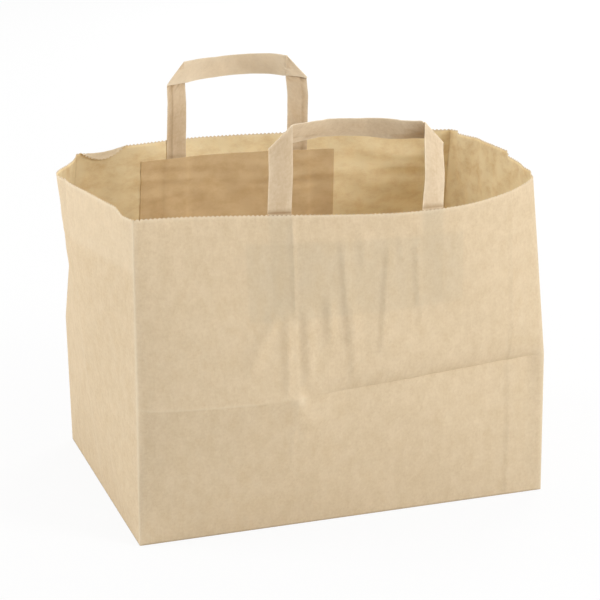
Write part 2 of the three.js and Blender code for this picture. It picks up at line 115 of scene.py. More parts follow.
# Handles. Distances into the bag are above 0, away from it below 0.
# start, middle, span: where the panel starts round the bag, the handle's middle and width across it
# rim, rise, drop: the rim, the strip's top edge above it and the patch's top edge below it
# bow, tilt, peak: the grip's bow into the bag, how much further its lower edge bows, and where most
# bends, sharp: shares of the grip where it bends, and how sharp the bends are
# pinch: how far the grip's far lower corner is pushed into the bag
# bulge, lift: how far the grip's lower edge bulges into the bag, and how far its first half is lifted
# twists: for each leg, how far its (outer, inner) edge has turned into the bag at the top
# sways: for each leg, its sway along the panel, as (height above the rim, distance)
# leg_shade: for each leg, how far painted shade darkens it, below 0 where it is painted paler
# seed: of the dents
HANDLES = {
    "front": {
        "start": 0, "middle": 162, "span": 131, "rim": HEIGHT, "rise": 64, "drop": 21,
        "bow": 22, "tilt": 8, "peak": 0.5, "bends": (0.34, 0.61), "sharp": 0.5,
        "pinch": 11, "bulge": 0, "lift": 0,
        "twists": ((0, 0), (6, 0)),
        "sways": (((0, -0.6), (30, 0.4), (64, 0)), ((0, 0), (20, 1.2), (64, 0))),
        "leg_shade": (0.35, 0), "seed": 21,
    },
    "back": {
        "start": BACK_START, "middle": 178, "span": 121, "rim": HEIGHT + BACK_RISE, "rise": 61, "drop": 16,
        "bow": -14, "tilt": 0, "peak": 0.4, "bends": (0.4, 0.6), "sharp": 0,
        "pinch": 0, "bulge": -3.5, "lift": 2.2,
        "twists": ((0, 0), (0, -4)),
        "sways": (((0, 0), (30, -0.5), (44, 0.9), (61, 1)), ((0, 0), (28, -1.4), (61, 0))),
        "leg_shade": (-0.3, 0), "seed": 31,
    },
}

# Grid of the sheet
COLUMN_STEP = 3.2
BUCKLED_STEP = 1.6
ROW_STEP = 2.6
FOOT_STEP = 3.4
FOLD_COLUMN = 1  # beside a fold
EDGE_COLUMN = 0.8  # beside the edge of what lies behind the sheet


def unit(vectors):
    return vectors / np.linalg.norm(vectors, axis=-1, keepdims=True)


def fold_points(side, crease, rim):
    """Foot, crease point and rim point of an upright fold, which keeps its length as it leans."""
    foot = np.array([side[0] * WIDTH / 2, side[1] * DEPTH / 2, PAPER / 2])
    rise = math.sqrt(CREASE**2 - crease[0] ** 2 - crease[1] ** 2)
    lean = (rim[0] - crease[0], rim[1] - crease[1])
    climb = math.sqrt((HEIGHT - CREASE) ** 2 - lean[0] ** 2 - lean[1] ** 2)
    at_crease = foot + np.array([*crease, rise])
    return foot, at_crease, at_crease + np.array([*lean, climb])


FOLDS = {name: fold_points(*leans) for name, leans in FOLD_LEANS.items()}


def fold_line(fold, height):
    foot, crease, rim = fold
    low = np.minimum(height / CREASE, 1)[:, None]
    high = np.maximum((height - CREASE) / (HEIGHT - CREASE), 0)[:, None]
    return foot + low * (crease - foot) + high * (rim - crease)


def arch(share, peak):
    """From 0 to 1 and back over the share 0 to 1, highest at the share peak."""
    turned = np.sin(np.pi * np.clip(share, 0, 1) ** (math.log(0.5) / math.log(peak)))
    return np.maximum(turned, 0) ** BOW_FULLNESS


def gusset_foot(corner, middle, to_middle, height):
    """Below the crease a gusset half is two flat triangles that meet along the diagonal crease."""
    low = (height / CREASE)[:, None]
    across = to_middle[:, None]
    flat = corner[0] + across * (middle[0] - corner[0]) + low * (middle[1] - middle[0])
    steep = corner[0] + low * (corner[1] - corner[0]) + across * (middle[1] - corner[1])
    return np.where(low <= across, flat, steep)


def panel_points(panel, share, height):
    first, last = (FOLDS[name] for name in panel["folds"])
    start, end = fold_line(first, height), fold_line(last, height)
    outward = unit(np.cross(end - start, UP))
    raised = (height - CREASE) / (HEIGHT - CREASE)
    crease_bow, crease_peak = panel.get("crease", NO_BOW)
    crease_bow = crease_bow * arch(share, crease_peak)
    rim_bow, rim_peak = panel["rim"]
    rim_arch = arch(share, rim_peak)
    belly = panel.get("belly", 0) * rim_arch * 4 * raised * (1 - raised)
    upright = crease_bow + (rim_bow * rim_arch - crease_bow) * raised + belly
    bow = np.where(raised < 0, crease_bow * height / CREASE, upright)
    points = start + (end - start) * share[:, None] + outward * bow[:, None]
    points[:, 2] -= panel.get("sag", 0) * rim_arch * np.maximum(raised, 0) ** 2
    if "middle" in panel["folds"][1]:
        foot = gusset_foot(first, last, share, height)
    elif "middle" in panel["folds"][0]:
        foot = gusset_foot(last, first, 1 - share, height)
    else:
        return points
    return np.where((height < CREASE)[:, None], foot, points)


def smooth_sheet(along, height):
    """Middle of the uncreased paper, at distances round the bag and heights up the sheet."""
    shape = np.broadcast(along, height).shape
    along = np.mod(np.broadcast_to(along, shape).ravel(), PERIMETER)
    height = np.broadcast_to(height, shape).ravel()
    points = np.empty((len(along), 3))
    start = 0
    for panel in PANELS:
        is_gusset = any("middle" in name for name in panel["folds"])
        length = DEPTH / 2 if is_gusset else WIDTH
        here = (along >= start) & (along <= start + length)
        points[here] = panel_points(panel, (along[here] - start) / length, height[here])
        start += length
    return points.reshape(*shape, 3)


def sheet_normal(along, height):
    ahead = smooth_sheet(along + NEAR, height) - smooth_sheet(along - NEAR, height)
    above = smooth_sheet(along, height + NEAR) - smooth_sheet(along, height - NEAR)
    return unit(np.cross(ahead, above))


def rim_height(along):
    """Height of the cut rim, with a slanted step between two cuts."""
    steps = [
        (WIDTH + FRONT_CUT_RIGHT, STEP_RUN, 0, SIDE_RISE),
        (BACK_START - BACK_CUT_RIGHT - STEP_RUN, STEP_RUN, SIDE_RISE, BACK_RISE),
        (BACK_END + BACK_CUT_LEFT, STEP_RUN, BACK_RISE, SIDE_RISE),
        (PERIMETER - FRONT_CUT_LEFT - STEP_RUN, LEFT_STEP_RUN, SIDE_RISE, 0),
    ]
    places = [place for start, run, _, _ in steps for place in (start, start + run)]
    rises = [rise for _, _, low, high in steps for rise in (low, high)]
    return HEIGHT + np.interp(along, places, rises)


def bell(x, middle, width):
    return np.exp(-(((x - middle) / width) ** 2))


def mark(distance, look):
    """A line at distance 0: look is its strength, and its run to each side."""
    strength, run = look
    return strength * bell(distance, 0, run)


def window(x, low, high, soft):
    """1 between low and high, fading to 0 over soft on both sides."""
    rise = np.clip((x - low) / soft + 0.5, 0, 1)
    fall = np.clip((high - x) / soft + 0.5, 0, 1)
    return rise * rise * (3 - 2 * rise) * fall * fall * (3 - 2 * fall)


# Soft random waves: how many, the least and most of them in each size, and what scales their sum
WAVES = 14
WAVE_PACES = (0.7, 1.4)
WAVE_PEAK = 1.6


def wander(along, height, size, seed):
    """Soft random waves of about one size over the sheet, from about -1 to 1, joined round the bag."""
    draw = np.random.default_rng(seed)
    total = np.zeros(np.broadcast(along, height).shape)
    for _ in range(WAVES):
        turn = draw.uniform(0, 2 * np.pi)
        pace = draw.uniform(*WAVE_PACES) / size
        round_bag = round(pace * math.cos(turn) * PERIMETER) / PERIMETER
        phase = draw.uniform(0, 2 * np.pi)
        total += np.sin(2 * np.pi * (round_bag * along + pace * math.sin(turn) * height) + phase)
    return total / math.sqrt(WAVES / 2) / WAVE_PEAK


# Buckles of the front panel: (distance from the left fold, height) of the lower and the upper end,
# the run of the left and of the right flank, and how far the ridge stands out
FRONT_BUCKLES = [
    ((77, 132), (100, 173), 6, 5, 2.0),
    ((105, 112), (107, 170), 4, 3.5, 1.7),
    ((111, 120), (113, 240), 1.4, 2.0, 0.6),
    ((121, 122), (121, 171), 4, 5, 2.0),
    ((138, 148), (138, 180), 3.5, 4, 1.8),
    ((152, 143), (148, 224), 1.8, 5.5, 1.2),
    ((156, 120), (155, 172), 3, 5, 1.2),
    ((164, 204), (164, 228), 3, 5, 0.9),
    ((177, 136), (183, 216), 1.6, 7, 1.2),
    ((194, 204), (193, 228), 2.5, 4, 0.8),
    ((207, 166), (205, 216), 1.6, 6, 1.0),
    ((209, 150), (211, 168), 2, 4, 0.8),
    ((238, 206), (238, 228), 2.5, 4, 0.5),
    ((126, 80), (112, 106), 12, 6, 1.6),
    ((111, 44), (111, 80), 1.5, 2.5, 0.3),
]
BUCKLE_END = 14  # soft ends
STAR = (112, 106)  # where the creases of the front panel meet

# Points of the star: offset from it, run along and up the panel, and how far they stand out
STAR_POINTS = [((0, 0), (4, 4), 1.3), ((7, 6), (4, 5), -1.0)]

# Crumples: how far they stand out, the size of their waves and the seed. Some lie on one panel, between
# two heights with a soft edge.
CRUMPLES = [
    {"out": 0.5, "size": 80, "seed": 3},
    {"out": 0.2, "size": 30, "seed": 5},
    {"out": 0.9, "size": 38, "seed": 8, "panel": (WIDTH, BACK_START), "heights": (140, 260, 60)},
    {"out": 0.5, "size": 34, "seed": 9, "panel": (BACK_START, BACK_END), "heights": (150, 260, 50)},
]

# The crease that folds the bag flat is pushed in: depth, and how far that reaches above and below it
FRONT_PUSH = (6.5, 8, 40)  # right of the star
BACK_PUSH = (0.6, 7, 20)
PUSH_START = 40  # distance from the star to the full depth
CREASE_RIDGE = (0.12, 0.9)  # elsewhere it is a thin ridge: how far it stands out, and its run
RIM_FOLD = 38  # below the rim, the line where the sheet was folded over
RIM_FOLD_RIDGE = (0.25, 1.6)

# Bands across the back panel: height and depth of each
BACK_BANDS = [(227, 0.8), (215, 1.2), (204, 0.8)]
BAND_RUN = 3.2
BAND_DRIFT = (3, 31)  # up and down by so much, over such a distance
BAND_FADE = (0.4, 17)  # deeper and shallower by such a share, over such a distance

FOLD_HOLD = 7  # the upright folds keep the paper beside them flat
FOOT_HOLD = 14
PANEL_EDGE = 12  # soft edge of what lies on one panel


def ridge(along, height, low, high, left, right, out):
    """A straight ridge between two places, with flanks of their own run."""
    lean = (high[0] - low[0]) / (high[1] - low[1])
    across = along - low[0] - lean * (height - low[1])
    flank = np.where(across < 0, left, right)
    return out * np.exp(-((across / flank) ** 2)) * window(height, low[1], high[1], BUCKLE_END)


def fold_distance(along):
    """Distance to the nearest upright fold between a panel and a gusset."""
    corners = np.array([0, WIDTH, BACK_START, BACK_END, PERIMETER])
    return np.abs(along[..., None] - corners).min(axis=-1)


def pushed_in(height, push):
    depth, up, down = push
    above = np.maximum(height - CREASE, 0)
    below = np.maximum(CREASE - height, 0)
    return -depth * np.exp(-above / up - below / down)


def creases(along, height):
    """How far the creases and crumples of the paper stand out from the smooth sheet."""
    on_front = window(along, 0, WIDTH, PANEL_EDGE / 2)
    on_back = window(along, BACK_START, BACK_END, PANEL_EDGE)
    out = np.zeros(np.broadcast(along, height).shape)
    for crumple in CRUMPLES:
        waves = crumple["out"] * wander(along, height, crumple["size"], crumple["seed"])
        if "panel" in crumple:
            waves *= window(along, *crumple["panel"], PANEL_EDGE) * window(height, *crumple["heights"])
        out += waves
    for buckle in FRONT_BUCKLES:
        out += ridge(along, height, *buckle)

    past_star = np.clip((along - STAR[0]) / PUSH_START, 0, 1) * on_front
    out += pushed_in(height, FRONT_PUSH) * past_star + pushed_in(height, BACK_PUSH) * on_back
    out += mark(height - CREASE, CREASE_RIDGE) * (1 - past_star) * (1 - on_back)
    out += mark(height - HEIGHT + RIM_FOLD, RIM_FOLD_RIDGE)
    for offset, run, rise in STAR_POINTS:
        sideways = bell(along, STAR[0] + offset[0], run[0])
        out += rise * sideways * bell(height, STAR[1] + offset[1], run[1])

    for level, depth in BACK_BANDS:
        drift = level + BAND_DRIFT[0] * np.sin(along / BAND_DRIFT[1] + level)
        fade = 1 - BAND_FADE[0] + BAND_FADE[0] * np.sin(along / BAND_FADE[1])
        out += -depth * on_back * bell(height, drift, BAND_RUN) * fade
    return out * (1 - bell(fold_distance(along), 0, FOLD_HOLD)) * np.clip(height / FOOT_HOLD, 0, 1)


def on_sheet(along, height, out=0.0):
    """A point of the creased paper, or one that lies out from its middle by so much."""
    lift = creases(along, height) + out
    return smooth_sheet(along, height) + sheet_normal(along, height) * np.asarray(lift)[..., None]


def spread(marks, step):
    """Sorted marks, with the spans between them divided into steps."""
    marks = np.unique(np.round(marks, 4))
    parts = [np.linspace(a, b, max(math.ceil((b - a) / step), 1), endpoint=False)
             for a, b in zip(marks[:-1], marks[1:])]
    return np.concatenate([*parts, marks[-1:]])


def leg_spans(handle):
    """Near and far edge of each leg, along the sheet."""
    left = handle["start"] + handle["middle"] - handle["span"] / 2
    right = left + handle["span"]
    return [(left, left + HANDLE_STRIP), (right - HANDLE_STRIP, right)]


def patch_span(handle):
    left = handle["start"] + handle["middle"] - PATCH_WIDTH / 2
    return left, left + PATCH_WIDTH


def patch_heights(handle):
    top = handle["rim"] - handle["drop"]
    return top - PATCH_HEIGHT, top


# Painted shade where what lies behind the sheet blocks light that comes through it: how strongly, and how
# soft its edges are
PATCH_SHOWS = 0.1
LEG_SHOWS = 0.11
SHOWN_SIDE = 1.2
SHOWN_END = 2
LEG_SHOWN_TO = HEIGHT + 9  # past the rim


def layers(along, height):
    """How far the painted shade of the patches and handle legs behind the sheet darkens it."""
    total = np.zeros(height.shape)
    for handle in HANDLES.values():
        foot, top = patch_heights(handle)
        patch = window(along, *patch_span(handle), SHOWN_SIDE) * window(height, foot, top, SHOWN_END)
        total += PATCH_SHOWS * patch
        for span in leg_spans(handle):
            leg = window(along, *span, SHOWN_SIDE)
            total += LEG_SHOWS * leg * window(height, foot + HANDLE_TAIL, LEG_SHOWN_TO, SHOWN_END)
    return total


def slab(name, outer, inner, uv, ring_end=None, **attributes):
    """Closed paper piece between two grids of points. Its outer face looks along column x row.
    ring_end is the UV column that closes a ring."""
    rows, columns = outer.shape[:2]
    ring = ring_end is not None
    points = np.concatenate([outer.reshape(-1, 3), inner.reshape(-1, 3)]) * MM
    index = np.arange(2 * rows * columns).reshape(2, rows, columns)
    uvs = np.stack([uv, uv])
    if ring:
        index = np.concatenate([index, index[:, :, :1]], axis=2)
        end = np.stack([ring_end, ring_end])[:, :, None]
        uvs = np.concatenate([uvs, end], axis=2)

    def quads(grid):
        out, back = grid
        cells = [
            (out[:-1, :-1], out[:-1, 1:], out[1:, 1:], out[1:, :-1]),
            (back[:-1, :-1], back[1:, :-1], back[1:, 1:], back[:-1, 1:]),
            (out[-1, :-1], out[-1, 1:], back[-1, 1:], back[-1, :-1]),
            (out[0, :-1], back[0, :-1], back[0, 1:], out[0, 1:]),
        ]
        if not ring:
            cells += [
                (out[:-1, 0], out[1:, 0], back[1:, 0], back[:-1, 0]),
                (out[:-1, -1], back[:-1, -1], back[1:, -1], out[1:, -1]),
            ]
        tail = grid.shape[3:]
        return np.concatenate([np.stack(cell, axis=-1 - len(tail)).reshape(-1, 4, *tail) for cell in cells])

    faces = quads(index)
    mesh = bpy.data.meshes.new(name)
    mesh.from_pydata(points.tolist(), [], faces.tolist())
    layer = mesh.uv_layers.new(name="sheet")
    layer.data.foreach_set("uv", (quads(uvs) * MM).ravel().astype(np.float32))
    for key, (out, back) in attributes.items():
        values = np.concatenate([np.broadcast_to(out, (rows, columns)).ravel(),
                                 np.broadcast_to(back, (rows, columns)).ravel()])
        mesh.attributes.new(key, "FLOAT", "POINT").data.foreach_set("value", values.astype(np.float32))
    mesh.shade_smooth()
    mesh.set_sharp_from_angle(angle=SHARP_ANGLE)
    return placed(name, mesh)


def placed(name, data):
    """New object in the scene."""
    made = bpy.data.objects.new(name, data)
    bpy.context.collection.objects.link(made)
    return made


# Back left of the rim: a lens of the edge has folded over into the bag
CURL_SPAN = (BACK_END - 47, BACK_END - 1)
CURL_DROP = 3.6
CURL_FLAP = 3.5
CURL_RADIUS = 0.6
CURL_TURN = math.radians(163)
CURL_STEP = 2  # below the bend, for its direction


def curl_share(along):
    start, end = CURL_SPAN
    return arch((along - start) / (end - start), 0.5)


def curl(points, along, height):
    """Folds the paper above the bend line inwards."""
    share = curl_share(along)
    bend = rim_height(along) - CURL_DROP * share
    rolled = (height > bend) & (share > 0)
    a, b = along[rolled], bend[rolled]
    past = height[rolled] - b
    foot = on_sheet(a, b)
    rise = unit(foot - on_sheet(a, b - CURL_STEP))
    inward = -sheet_normal(a, b)
    angle = np.minimum(past / CURL_RADIUS, CURL_TURN)
    rest = past - angle * CURL_RADIUS
    upward = CURL_RADIUS * np.sin(angle) + rest * np.cos(angle)
    sideways = CURL_RADIUS * (1 - np.cos(angle)) + rest * np.sin(angle)
    points[rolled] = foot + rise * upward[:, None] + inward * sideways[:, None]
    return points


# Marks on the sheet: strength, above 0 paler and below 0 darker, and run. The paler rim and folds are wear
# and partly painted highlight.
RIM_WEAR_AND_HIGHLIGHT = (0.7, 1.5)
FOLD_WEAR_AND_HIGHLIGHT = (1.0, 0.9)
MIDDLE_WEAR_AND_HIGHLIGHT = (0.4, 1.4)
# Painted highlight along the crease, left of the star
CREASE_HIGHLIGHT = (0.45, 0.8)
CREASE_HIGHLIGHT_TO_STAR = (30, 20)  # the painted highlight of the crease ends so far before the star, with a soft end
# Painted highlight beside the star of creases
STAR_HIGHLIGHT = (0.7, 4)
STAR_HIGHLIGHT_SET = 3  # right of the star
# Painted contact shadow along the foot of the sheet
FOOT_SHADOW = (-1.2, 0.7)
# Painted shade in the inner corner of each fold
FOLD_SHADE = (-0.4, 0.8)
# Painted shade along the edge of the seam that lies on the gusset
SEAM_SHADE = (-0.5, 0.8)
SEAM_SHADE_SET = 0.6  # before the seam's inner end
RIM_BAND_LIGHT = 0.4  # painted light: paler above the folded line of the left gusset
RIM_BAND_EDGE = (2, 5)  # soft edges: at the gusset's folds, and at the line
# Painted shade on the inner side: off the back panel, and more at its left end and on the left gusset
SIDES_SHADE = 0.42
LEFT_SHADE = 0.15
INSIDE_SIDES = 0.8  # how far the inner side takes its own colour and stains
INSIDE_BACK = 0.7
BACK_FADE = 60  # where the back panel's inner side turns to that of the left gusset

# Rows of the sheet's grid: beside the foot and the crease, and near the rim
FOOT_ROWS = (0, 0.6, 1.4)
NEAR_CREASE = np.array([0, 0.6, 1.3, 2.2, 3.6, 6])
RIM_ZONE = 12
RIM_ROWS = 19
SEAM_START = WIDTH - SEAM_ON_FRONT
SEAM_END = WIDTH + SEAM_ON_SIDE


def sheet_columns():
    """Columns of the sheet's grid, closer at folds, edges and buckles."""
    marks = [0, WIDTH, RIGHT_MIDDLE, BACK_START, BACK_END, LEFT_MIDDLE, PERIMETER]
    marks += [place + side for place in (SEAM_START, SEAM_END) for side in (0, SEAM_EDGE)]
    marks += [WIDTH + FRONT_CUT_RIGHT, BACK_START - BACK_CUT_RIGHT, BACK_END + BACK_CUT_LEFT]
    marks += [PERIMETER - FRONT_CUT_LEFT, *CURL_SPAN]
    for fold in (0, WIDTH, BACK_START, BACK_END):
        marks += [(fold + side) % PERIMETER for side in (-FOLD_COLUMN, FOLD_COLUMN)]
    for handle in HANDLES.values():
        for edge in (*patch_span(handle), *sum(leg_spans(handle), ())):
            marks += [edge - EDGE_COLUMN, edge + EDGE_COLUMN]
    buckled = [place for buckle in FRONT_BUCKLES for place, _ in buckle[:2]]
    marks += list(np.arange(min(buckled), max(buckled), BUCKLED_STEP))
    return spread(marks, COLUMN_STEP)[:-1]


def sheet_heights(rim):
    """Rows of the sheet's grid: level up to the crease, then evenly up to the rim."""
    foot_rows = spread([*FOOT_ROWS, *(CREASE - NEAR_CREASE)], FOOT_STEP) / CREASE
    head_rows = spread([*NEAR_CREASE, HEIGHT - CREASE - RIM_ZONE], ROW_STEP) / (HEIGHT - CREASE)
    top_rows = np.linspace(head_rows[-1], 1, RIM_ROWS)
    low = np.outer(foot_rows, np.full(len(rim), CREASE))
    share = np.concatenate([head_rows[1:], top_rows[1:]])
    return np.concatenate([low, CREASE + np.outer(share, rim - CREASE)])


def sheet_wear(columns, height, rim):
    """Wear, painted light and painted shade of the outer and the inner side, and how far the inner side
    takes its own colour.
    """
    to_fold = fold_distance(columns)
    to_middle = np.minimum(np.abs(columns - RIGHT_MIDDLE), np.abs(columns - LEFT_MIDDLE))
    at_rim = mark(height - rim, RIM_WEAR_AND_HIGHLIGHT)
    outer = np.maximum(mark(to_fold, FOLD_WEAR_AND_HIGHLIGHT) + mark(to_middle, MIDDLE_WEAR_AND_HIGHLIGHT), at_rim)
    before_star = window(columns, 0, STAR[0] - CREASE_HIGHLIGHT_TO_STAR[0], CREASE_HIGHLIGHT_TO_STAR[1])
    outer = outer + mark(height - CREASE, CREASE_HIGHLIGHT) * before_star
    at_star = mark(columns - STAR[0] - STAR_HIGHLIGHT_SET, STAR_HIGHLIGHT)
    outer += at_star * bell(height, STAR[1], STAR_HIGHLIGHT[1])
    lit_band = window(height, HEIGHT - RIM_FOLD, HEIGHT + RIM_FOLD, RIM_BAND_EDGE[1])
    outer += RIM_BAND_LIGHT * lit_band * window(columns, BACK_END, PERIMETER, RIM_BAND_EDGE[0])
    outer += mark(height, FOOT_SHADOW)

    on_back = window(columns, BACK_START, BACK_END - BACK_FADE, BACK_FADE)
    on_left = window(columns, BACK_END - BACK_FADE, PERIMETER, BACK_FADE)
    inner = at_rim + mark(to_fold, FOLD_SHADE) + mark(columns - SEAM_END + SEAM_SHADE_SET, SEAM_SHADE)
    inner -= SIDES_SHADE * (1 - on_back) + LEFT_SHADE * on_left
    return outer, inner, INSIDE_SIDES + (INSIDE_BACK - INSIDE_SIDES) * on_back


def bag_sheet():
    """Walls of the bag: one sheet round four folds, doubled in the long seam. Also the rim line."""
    columns = sheet_columns()
    rim = rim_height(columns) - TOOTH_HEIGHT + CURL_FLAP * curl_share(columns)
    height = sheet_heights(rim)
    along = np.broadcast_to(columns, height.shape)
    middle = curl(on_sheet(along, height), along, height)

    ahead = np.roll(middle, -1, axis=1) - np.roll(middle, 1, axis=1)
    above = np.gradient(middle, axis=0)
    normal = unit(np.cross(ahead, above))
    steps = np.clip((columns - SEAM_START) / SEAM_EDGE, 0, 1)
    ends = np.clip((columns - SEAM_END) / SEAM_EDGE, 0, 1)
    home = np.clip((columns - RIGHT_MIDDLE) / (BACK_START - RIGHT_MIDDLE), 0, 1)
    out = (PAPER / 2 + PAPER * (steps - home))[:, None]
    back = (-PAPER / 2 + PAPER * (ends - home))[:, None]

    behind = layers(along, height)
    outer_wear, inner_wear, inside = sheet_wear(columns, height, rim)
    uv = np.stack([along, height], axis=-1)
    end = np.stack([np.full(len(height), PERIMETER), height[:, 0]], axis=-1)
    piece = slab(
        "bag_sheet", middle + normal * out, middle + normal * back, uv, ring_end=end,
        layers=(behind, behind), wear=(outer_wear, inner_wear), inside=(0.0, inside),
    )
    rim_line = middle[-1] + normal[-1] * (out + back) / 2
    rise = unit(middle[-1] - middle[-2])
    return piece, rim_line, rise, normal[-1]


def block_bottom():
    """Flaps of the bottom: ends folded in first, then the back flap, then the front flap over it."""
    reach = DEPTH / 2 + FLAP_OVERLAP / 2
    edge = WIDTH / 2 - reach
    half = DEPTH / 2
    flaps = [
        [(-WIDTH / 2, -half), (WIDTH / 2, -half), (edge, reach - half), (-edge, reach - half)],
        [(WIDTH / 2, half), (-WIDTH / 2, half), (-edge, half - reach), (edge, half - reach)],
        [(-WIDTH / 2, half), (-WIDTH / 2, -half), (-edge, -half), (-edge, half)],
        [(WIDTH / 2, -half), (WIDTH / 2, half), (edge, half), (edge, -half)],
    ]
    pieces = []
    for level, (a, b, c, d) in zip((0, 1, 2, 2), flaps):
        corners = np.array([[a, b], [d, c]], float)
        flat = np.concatenate([corners, np.full((2, 2, 1), level * PAPER)], axis=-1)
        flat = flat[:, ::-1]
        lifted = flat + np.array([0, 0, PAPER])
        # Each flap is painted all over with the shade of paper that lies double
        pieces.append(slab(f"flap_{len(pieces)}", flat, lifted, flat[..., :2],
                           layers=(1.0, 1.0), wear=(0.0, 0.0), inside=(0.0, 1.0)))
    return joined("block_bottom", pieces)


def joined(name, pieces):
    bpy.ops.object.select_all(action="DESELECT")
    for piece in pieces:
        piece.select_set(True)
    bpy.context.view_layer.objects.active = pieces[0]
    bpy.ops.object.join()
    pieces[0].name = pieces[0].data.name = name
    return pieces[0]


PATCH_DARKER = 0.4  # painted shade where a patch lies over a leg


def handle_patch(name, handle):
    """Patch: lies on the panel and climbs over the two legs."""
    left, right = patch_span(handle)
    foot, top = patch_heights(handle)
    marks = [left, right]
    for low, high in leg_spans(handle):
        marks += [low - PATCH_RAMP, low, high, high + PATCH_RAMP]
    columns = spread(marks, COLUMN_STEP)
    height = spread([foot, top], ROW_STEP)[:, None] + np.zeros(len(columns))
    along = np.broadcast_to(columns, height.shape)
    over = np.zeros(len(columns))
    for low, high in leg_spans(handle):
        over += window(columns, low - PATCH_RAMP / 2, high + PATCH_RAMP / 2, PATCH_RAMP)
    near = PAPER / 2 + GLUE_GAP + (HANDLE_PLY + GLUE_GAP) * over
    return slab(
        name, on_sheet(along, height, -near), on_sheet(along, height, -near - PAPER),
        np.stack([along, height], axis=-1),
        layers=(PATCH_DARKER * over, PATCH_DARKER * over), wear=(0.0, 0.0), inside=(1.0, 1.0),
    )


# Points of a section, as shares from the strip's inner to its outer edge
ACROSS = np.array([0, 0.05, 0.35, 0.65, PLY_SHARE - 0.01, PLY_SHARE, 0.95, 1])
MEASURED_POINT = 3  # the strip's length is measured along this one

# Rows of the strip: in each mitre fold, along the grip and up each free leg
FOLD_STEPS = 8
GRIP_STEPS = 60
LEG_STEPS = 24
RIM_SHARES = (0.01, 0.025)  # shares of the free leg where it has rows close to the rim
GLUED_STEP = 3  # between rows of the glued leg
STRIP_HELD = (75, 20)  # glued end of each leg, which has no dents, and its soft end
DENTS = [(0.45, 34), (0.12, 13)]  # how far they stand out, and the size of their waves
PINCH_RUN = (20, 10)  # run of the pinched corner along the grip, and to the fold
BULGE_RUN = 30  # below the grip
LIFT_PEAK = 0.8  # share of the grip, from its far end, where it is lifted most

# Marks on the strip: strength, above 0 paler and below 0 darker, and run. The paler edges are wear and
# partly painted highlight.
EDGE_WEAR_AND_HIGHLIGHT = (0.8, 0.7)
# Painted shadow along the edge of the top ply on the legs
PLY_SHADOW = (-0.6, 0.6)
UNDER_GRIP_SHADOW = (-0.9, 1.3)
UNDER_GRIP_SHADOW_SET = 1.0  # the painted shadow under the grip lies so far below its lower edge
PATCH_EDGE_SHADOW = (-0.9, 1.0)
PATCH_EDGE_SHADOW_SET = 0.6  # the painted shadow at the patch lies so far past its top edge
RIM_GAP_SHADOW = (-1.3, 1.1)
RIM_GAP_SHADOW_SET = 1.6  # the painted shadow in the gap where the leg passes the rim lies so far above it
# The grip is painted paler than the legs
PALER_GRIP = 0.8
PALER_GRIP_ROWS = (4, 2)  # rows past the middle of each fold, with a soft edge
LOW_LEG_SHADE = 0.3
LOW_LEG_SPAN = (-40, 22, 5)  # painted shade on the lower leg: from and to a height above the rim, with a soft edge
PINCH_SHADE = 0.1  # for each millimetre that the corner is pinched


def across_leg(leg, across):
    """Places along the sheet, at shares from a leg's inner to its outer edge."""
    outer, inner = leg
    return inner + (outer - inner) * across


def grip_arch(share, handle):
    """Plan of the grip: between a smooth arch and straight runs that meet in two soft bends."""
    first, last = handle["bends"]
    straight = np.minimum(share / first, (1 - share) / (1 - last))
    sharp = handle["sharp"]
    return sharp * np.clip(straight, 0, 1) + (1 - sharp) * arch(share, handle["peak"])


